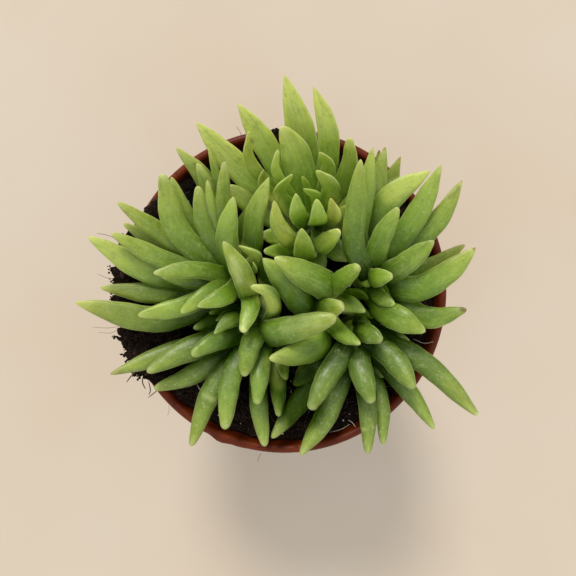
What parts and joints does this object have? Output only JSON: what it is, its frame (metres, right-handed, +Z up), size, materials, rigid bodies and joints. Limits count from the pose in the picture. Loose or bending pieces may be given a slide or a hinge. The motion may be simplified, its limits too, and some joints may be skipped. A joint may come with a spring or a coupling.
{
  "type": "potted kikuhigasa haworthia",
  "caption": "Clump of soft haworthia rosettes with pointed, keeled, grass-green leaves in a small round reddish-brown nursery pot of dark compost.",
  "frame": {"origin": "centre of the pot's flat base, on the surface it stands on", "axes": "+Z up along the pot's axis; +Y towards the side that the picture shows at its top; +X to the picture's right"},
  "size_m": [0.1027, 0.0969, 0.1011],
  "materials": {
    "pot_plastic": "thin moulded terracotta-brown plastic, satin, dusty and scuffed at the rim",
    "compost": null,
    "leaf": "fleshy yellow-green leaf, soft satin, paler and translucent towards the tip, dark in the heart; stands for plant flesh"
  },
  "bodies": {
    "root": {"pot": "pot_plastic", "soil": "compost", "rosette_top": "leaf", "rosette_left": "leaf", "rosette_centre": "leaf", "rosette_right": "leaf", "rosette_lower_left": "leaf", "rosette_lower_right": "leaf"}
  },
  "joints": []
}
